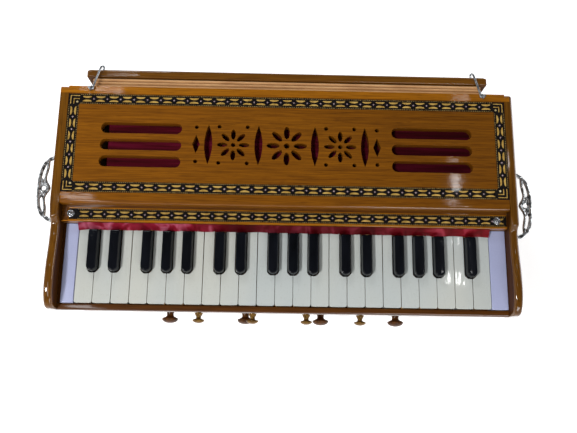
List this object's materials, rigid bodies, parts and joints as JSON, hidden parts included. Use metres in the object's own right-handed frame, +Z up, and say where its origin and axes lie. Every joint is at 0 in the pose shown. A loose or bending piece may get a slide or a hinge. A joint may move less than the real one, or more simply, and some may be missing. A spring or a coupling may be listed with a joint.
{
  "type": "harmonium",
  "caption": "Portable hand-pumped reed organ: varnished wooden case, inlaid fretted cover, white and black keys, stop knobs in front and bellows behind.",
  "frame": {"origin": "centre of the underside of the wooden case", "axes": "+X along the keyboard to the player's right, +Y from the player to the bellows, +Z up"},
  "size_m": [0.6504, 0.315, 0.1964],
  "materials": {
    "varnished_wood": "amber brown teak under thick glossy varnish",
    "raw_wood": "plain unvarnished softwood",
    "white_key": "off-white celluloid, softly glossy",
    "black_key": "blue-black polished plastic",
    "brown_knob": "turned dark brown, polished",
    "brass_knob": "turned brass, tarnished to olive brown",
    "chrome_wire": "plated steel wire",
    "chrome_casting": "plated pierced casting",
    "red_satin": "crimson satin with a pink sheen",
    "maroon_cloth": "maroon cloth",
    "bellows_leather": "card and leather pleats, tan ridges and dark red valleys"
  },
  "bodies": {
    "case_body": {"case": "varnished_wood", "reed_board": "raw_wood", "key_rail": "varnished_wood", "key_cloth": "red_satin"},
    "cover_body": {"top_cover": "varnished_wood", "grille_cloth": "maroon_cloth"},
    "bellows_body": {"bellows_board": "varnished_wood", "bellows_folds": "bellows_leather"},
    "reservoir_body": {"reservoir": "raw_wood"},
    "white_key_01": {"white_key_01": "white_key"},
    "white_key_02": {"white_key_02": "white_key"},
    "white_key_03": {"white_key_03": "white_key"},
    "white_key_04": {"white_key_04": "white_key"},
    "white_key_05": {"white_key_05": "white_key"},
    "white_key_06": {"white_key_06": "white_key"},
    "white_key_07": {"white_key_07": "white_key"},
    "white_key_08": {"white_key_08": "white_key"},
    "white_key_09": {"white_key_09": "white_key"},
    "white_key_10": {"white_key_10": "white_key"},
    "white_key_11": {"white_key_11": "white_key"},
    "white_key_12": {"white_key_12": "white_key"},
    "white_key_13": {"white_key_13": "white_key"},
    "white_key_14": {"white_key_14": "white_key"},
    "white_key_15": {"white_key_15": "white_key"},
    "white_key_16": {"white_key_16": "white_key"},
    "white_key_17": {"white_key_17": "white_key"},
    "white_key_18": {"white_key_18": "white_key"},
    "white_key_19": {"white_key_19": "white_key"},
    "white_key_20": {"white_key_20": "white_key"},
    "white_key_21": {"white_key_21": "white_key"},
    "white_key_22": {"white_key_22": "white_key"},
    "white_key_23": {"white_key_23": "white_key"},
    "black_key_01": {"black_key_01": "black_key"},
    "black_key_02": {"black_key_02": "black_key"},
    "black_key_03": {"black_key_03": "black_key"},
    "black_key_04": {"black_key_04": "black_key"},
    "black_key_05": {"black_key_05": "black_key"},
    "black_key_06": {"black_key_06": "black_key"},
    "black_key_07": {"black_key_07": "black_key"},
    "black_key_08": {"black_key_08": "black_key"},
    "black_key_09": {"black_key_09": "black_key"},
    "black_key_10": {"black_key_10": "black_key"},
    "black_key_11": {"black_key_11": "black_key"},
    "black_key_12": {"black_key_12": "black_key"},
    "black_key_13": {"black_key_13": "black_key"},
    "black_key_14": {"black_key_14": "black_key"},
    "black_key_15": {"black_key_15": "black_key"},
    "black_key_16": {"black_key_16": "black_key"},
    "main_stop_1": {"main_stop_1": "brown_knob"},
    "main_stop_2": {"main_stop_2": "brown_knob"},
    "main_stop_3": {"main_stop_3": "brown_knob"},
    "main_stop_4": {"main_stop_4": "brown_knob"},
    "drone_stop_1": {"drone_stop_1": "brass_knob"},
    "drone_stop_2": {"drone_stop_2": "brass_knob"},
    "drone_stop_3": {"drone_stop_3": "brass_knob"},
    "drone_stop_4": {"drone_stop_4": "brass_knob"},
    "left_hook": {"left_hook": "chrome_wire"},
    "right_hook": {"right_hook": "chrome_wire"},
    "left_handle": {"left_handle": "chrome_casting"},
    "right_handle": {"right_handle": "chrome_casting"}
  },
  "joints": [
    {"name": "cover_lift", "type": "slide", "parent": "case_body", "child": "cover_body", "axis": [0, 0, 1], "range_m": [0, 0.08]},
    {"name": "bellows_pump", "type": "hinge", "parent": "case_body", "child": "bellows_body", "pos_m": [0, 0.1522, 0.016], "axis": [-1, 0, 0], "range_deg": [0, 24], "deforming": ["bellows_folds"]},
    {"name": "reservoir_swing", "type": "hinge", "parent": "case_body", "child": "reservoir_body", "pos_m": [0, 0.1197, 0.1084], "axis": [1, 0, 0], "range_deg": [0, 6], "stiffness_Nm_per_rad": 6, "springref_deg": -14.32},
    {"name": "white_key_01_press", "type": "hinge", "parent": "case_body", "child": "white_key_01", "pos_m": [0, -0.02, 0.151], "axis": [1, 0, 0], "range_deg": [0, 3.2], "stiffness_Nm_per_rad": 0.5, "springref_deg": -5.73},
    {"name": "white_key_02_press", "type": "hinge", "parent": "case_body", "child": "white_key_02", "pos_m": [0, -0.02, 0.151], "axis": [1, 0, 0], "range_deg": [0, 3.2], "stiffness_Nm_per_rad": 0.5, "springref_deg": -5.73},
    {"name": "white_key_03_press", "type": "hinge", "parent": "case_body", "child": "white_key_03", "pos_m": [0, -0.02, 0.151], "axis": [1, 0, 0], "range_deg": [0, 3.2], "stiffness_Nm_per_rad": 0.5, "springref_deg": -5.73},
    {"name": "white_key_04_press", "type": "hinge", "parent": "case_body", "child": "white_key_04", "pos_m": [0, -0.02, 0.151], "axis": [1, 0, 0], "range_deg": [0, 3.2], "stiffness_Nm_per_rad": 0.5, "springref_deg": -5.73},
    {"name": "white_key_05_press", "type": "hinge", "parent": "case_body", "child": "white_key_05", "pos_m": [0, -0.02, 0.151], "axis": [1, 0, 0], "range_deg": [0, 3.2], "stiffness_Nm_per_rad": 0.5, "springref_deg": -5.73},
    {"name": "white_key_06_press", "type": "hinge", "parent": "case_body", "child": "white_key_06", "pos_m": [0, -0.02, 0.151], "axis": [1, 0, 0], "range_deg": [0, 3.2], "stiffness_Nm_per_rad": 0.5, "springref_deg": -5.73},
    {"name": "white_key_07_press", "type": "hinge", "parent": "case_body", "child": "white_key_07", "pos_m": [0, -0.02, 0.151], "axis": [1, 0, 0], "range_deg": [0, 3.2], "stiffness_Nm_per_rad": 0.5, "springref_deg": -5.73},
    {"name": "white_key_08_press", "type": "hinge", "parent": "case_body", "child": "white_key_08", "pos_m": [0, -0.02, 0.151], "axis": [1, 0, 0], "range_deg": [0, 3.2], "stiffness_Nm_per_rad": 0.5, "springref_deg": -5.73},
    {"name": "white_key_09_press", "type": "hinge", "parent": "case_body", "child": "white_key_09", "pos_m": [0, -0.02, 0.151], "axis": [1, 0, 0], "range_deg": [0, 3.2], "stiffness_Nm_per_rad": 0.5, "springref_deg": -5.73},
    {"name": "white_key_10_press", "type": "hinge", "parent": "case_body", "child": "white_key_10", "pos_m": [0, -0.02, 0.151], "axis": [1, 0, 0], "range_deg": [0, 3.2], "stiffness_Nm_per_rad": 0.5, "springref_deg": -5.73},
    {"name": "white_key_11_press", "type": "hinge", "parent": "case_body", "child": "white_key_11", "pos_m": [0, -0.02, 0.151], "axis": [1, 0, 0], "range_deg": [0, 3.2], "stiffness_Nm_per_rad": 0.5, "springref_deg": -5.73},
    {"name": "white_key_12_press", "type": "hinge", "parent": "case_body", "child": "white_key_12", "pos_m": [0, -0.02, 0.151], "axis": [1, 0, 0], "range_deg": [0, 3.2], "stiffness_Nm_per_rad": 0.5, "springref_deg": -5.73},
    {"name": "white_key_13_press", "type": "hinge", "parent": "case_body", "child": "white_key_13", "pos_m": [0, -0.02, 0.151], "axis": [1, 0, 0], "range_deg": [0, 3.2], "stiffness_Nm_per_rad": 0.5, "springref_deg": -5.73},
    {"name": "white_key_14_press", "type": "hinge", "parent": "case_body", "child": "white_key_14", "pos_m": [0, -0.02, 0.151], "axis": [1, 0, 0], "range_deg": [0, 3.2], "stiffness_Nm_per_rad": 0.5, "springref_deg": -5.73},
    {"name": "white_key_15_press", "type": "hinge", "parent": "case_body", "child": "white_key_15", "pos_m": [0, -0.02, 0.151], "axis": [1, 0, 0], "range_deg": [0, 3.2], "stiffness_Nm_per_rad": 0.5, "springref_deg": -5.73},
    {"name": "white_key_16_press", "type": "hinge", "parent": "case_body", "child": "white_key_16", "pos_m": [0, -0.02, 0.151], "axis": [1, 0, 0], "range_deg": [0, 3.2], "stiffness_Nm_per_rad": 0.5, "springref_deg": -5.73},
    {"name": "white_key_17_press", "type": "hinge", "parent": "case_body", "child": "white_key_17", "pos_m": [0, -0.02, 0.151], "axis": [1, 0, 0], "range_deg": [0, 3.2], "stiffness_Nm_per_rad": 0.5, "springref_deg": -5.73},
    {"name": "white_key_18_press", "type": "hinge", "parent": "case_body", "child": "white_key_18", "pos_m": [0, -0.02, 0.151], "axis": [1, 0, 0], "range_deg": [0, 3.2], "stiffness_Nm_per_rad": 0.5, "springref_deg": -5.73},
    {"name": "white_key_19_press", "type": "hinge", "parent": "case_body", "child": "white_key_19", "pos_m": [0, -0.02, 0.151], "axis": [1, 0, 0], "range_deg": [0, 3.2], "stiffness_Nm_per_rad": 0.5, "springref_deg": -5.73},
    {"name": "white_key_20_press", "type": "hinge", "parent": "case_body", "child": "white_key_20", "pos_m": [0, -0.02, 0.151], "axis": [1, 0, 0], "range_deg": [0, 3.2], "stiffness_Nm_per_rad": 0.5, "springref_deg": -5.73},
    {"name": "white_key_21_press", "type": "hinge", "parent": "case_body", "child": "white_key_21", "pos_m": [0, -0.02, 0.151], "axis": [1, 0, 0], "range_deg": [0, 3.2], "stiffness_Nm_per_rad": 0.5, "springref_deg": -5.73},
    {"name": "white_key_22_press", "type": "hinge", "parent": "case_body", "child": "white_key_22", "pos_m": [0, -0.02, 0.151], "axis": [1, 0, 0], "range_deg": [0, 3.2], "stiffness_Nm_per_rad": 0.5, "springref_deg": -5.73},
    {"name": "white_key_23_press", "type": "hinge", "parent": "case_body", "child": "white_key_23", "pos_m": [0, -0.02, 0.151], "axis": [1, 0, 0], "range_deg": [0, 3.2], "stiffness_Nm_per_rad": 0.5, "springref_deg": -5.73},
    {"name": "black_key_01_press", "type": "hinge", "parent": "case_body", "child": "black_key_01", "pos_m": [0, -0.02, 0.151], "axis": [1, 0, 0], "range_deg": [0, 3.2], "stiffness_Nm_per_rad": 0.5, "springref_deg": -5.73},
    {"name": "black_key_02_press", "type": "hinge", "parent": "case_body", "child": "black_key_02", "pos_m": [0, -0.02, 0.151], "axis": [1, 0, 0], "range_deg": [0, 3.2], "stiffness_Nm_per_rad": 0.5, "springref_deg": -5.73},
    {"name": "black_key_03_press", "type": "hinge", "parent": "case_body", "child": "black_key_03", "pos_m": [0, -0.02, 0.151], "axis": [1, 0, 0], "range_deg": [0, 3.2], "stiffness_Nm_per_rad": 0.5, "springref_deg": -5.73},
    {"name": "black_key_04_press", "type": "hinge", "parent": "case_body", "child": "black_key_04", "pos_m": [0, -0.02, 0.151], "axis": [1, 0, 0], "range_deg": [0, 3.2], "stiffness_Nm_per_rad": 0.5, "springref_deg": -5.73},
    {"name": "black_key_05_press", "type": "hinge", "parent": "case_body", "child": "black_key_05", "pos_m": [0, -0.02, 0.151], "axis": [1, 0, 0], "range_deg": [0, 3.2], "stiffness_Nm_per_rad": 0.5, "springref_deg": -5.73},
    {"name": "black_key_06_press", "type": "hinge", "parent": "case_body", "child": "black_key_06", "pos_m": [0, -0.02, 0.151], "axis": [1, 0, 0], "range_deg": [0, 3.2], "stiffness_Nm_per_rad": 0.5, "springref_deg": -5.73},
    {"name": "black_key_07_press", "type": "hinge", "parent": "case_body", "child": "black_key_07", "pos_m": [0, -0.02, 0.151], "axis": [1, 0, 0], "range_deg": [0, 3.2], "stiffness_Nm_per_rad": 0.5, "springref_deg": -5.73},
    {"name": "black_key_08_press", "type": "hinge", "parent": "case_body", "child": "black_key_08", "pos_m": [0, -0.02, 0.151], "axis": [1, 0, 0], "range_deg": [0, 3.2], "stiffness_Nm_per_rad": 0.5, "springref_deg": -5.73},
    {"name": "black_key_09_press", "type": "hinge", "parent": "case_body", "child": "black_key_09", "pos_m": [0, -0.02, 0.151], "axis": [1, 0, 0], "range_deg": [0, 3.2], "stiffness_Nm_per_rad": 0.5, "springref_deg": -5.73},
    {"name": "black_key_10_press", "type": "hinge", "parent": "case_body", "child": "black_key_10", "pos_m": [0, -0.02, 0.151], "axis": [1, 0, 0], "range_deg": [0, 3.2], "stiffness_Nm_per_rad": 0.5, "springref_deg": -5.73},
    {"name": "black_key_11_press", "type": "hinge", "parent": "case_body", "child": "black_key_11", "pos_m": [0, -0.02, 0.151], "axis": [1, 0, 0], "range_deg": [0, 3.2], "stiffness_Nm_per_rad": 0.5, "springref_deg": -5.73},
    {"name": "black_key_12_press", "type": "hinge", "parent": "case_body", "child": "black_key_12", "pos_m": [0, -0.02, 0.151], "axis": [1, 0, 0], "range_deg": [0, 3.2], "stiffness_Nm_per_rad": 0.5, "springref_deg": -5.73},
    {"name": "black_key_13_press", "type": "hinge", "parent": "case_body", "child": "black_key_13", "pos_m": [0, -0.02, 0.151], "axis": [1, 0, 0], "range_deg": [0, 3.2], "stiffness_Nm_per_rad": 0.5, "springref_deg": -5.73},
    {"name": "black_key_14_press", "type": "hinge", "parent": "case_body", "child": "black_key_14", "pos_m": [0, -0.02, 0.151], "axis": [1, 0, 0], "range_deg": [0, 3.2], "stiffness_Nm_per_rad": 0.5, "springref_deg": -5.73},
    {"name": "black_key_15_press", "type": "hinge", "parent": "case_body", "child": "black_key_15", "pos_m": [0, -0.02, 0.151], "axis": [1, 0, 0], "range_deg": [0, 3.2], "stiffness_Nm_per_rad": 0.5, "springref_deg": -5.73},
    {"name": "black_key_16_press", "type": "hinge", "parent": "case_body", "child": "black_key_16", "pos_m": [0, -0.02, 0.151], "axis": [1, 0, 0], "range_deg": [0, 3.2], "stiffness_Nm_per_rad": 0.5, "springref_deg": -5.73},
    {"name": "main_stop_1_pull", "type": "slide", "parent": "case_body", "child": "main_stop_1", "axis": [0, -1, 0], "range_m": [0, 0.018]},
    {"name": "main_stop_2_pull", "type": "slide", "parent": "case_body", "child": "main_stop_2", "axis": [0, -1, 0], "range_m": [0, 0.018]},
    {"name": "main_stop_3_pull", "type": "slide", "parent": "case_body", "child": "main_stop_3", "axis": [0, -1, 0], "range_m": [0, 0.018]},
    {"name": "main_stop_4_pull", "type": "slide", "parent": "case_body", "child": "main_stop_4", "axis": [0, -1, 0], "range_m": [0, 0.018]},
    {"name": "drone_stop_1_pull", "type": "slide", "parent": "case_body", "child": "drone_stop_1", "axis": [0, -1, 0], "range_m": [0, 0.018]},
    {"name": "drone_stop_2_pull", "type": "slide", "parent": "case_body", "child": "drone_stop_2", "axis": [0, -1, 0], "range_m": [0, 0.018]},
    {"name": "drone_stop_3_pull", "type": "slide", "parent": "case_body", "child": "drone_stop_3", "axis": [0, -1, 0], "range_m": [0, 0.018]},
    {"name": "drone_stop_4_pull", "type": "slide", "parent": "case_body", "child": "drone_stop_4", "axis": [0, -1, 0], "range_m": [0, 0.018]},
    {"name": "left_hook_lift", "type": "hinge", "parent": "case_body", "child": "left_hook", "pos_m": [-0.246, 0.1345, 0.1929], "axis": [0.9455, -0.3256, 0], "range_deg": [0, 90]},
    {"name": "right_hook_lift", "type": "hinge", "parent": "case_body", "child": "right_hook", "pos_m": [0.246, 0.1345, 0.1929], "axis": [0.9455, 0.3256, 0], "range_deg": [0, 90]},
    {"name": "left_handle_swing", "type": "hinge", "parent": "case_body", "child": "left_handle", "pos_m": [-0.29, 0, 0.124], "axis": [0, -1, 0], "range_deg": [0, 88]},
    {"name": "right_handle_swing", "type": "hinge", "parent": "case_body", "child": "right_handle", "pos_m": [0.29, 0, 0.124], "axis": [0, 1, 0], "range_deg": [0, 88]}
  ]
}
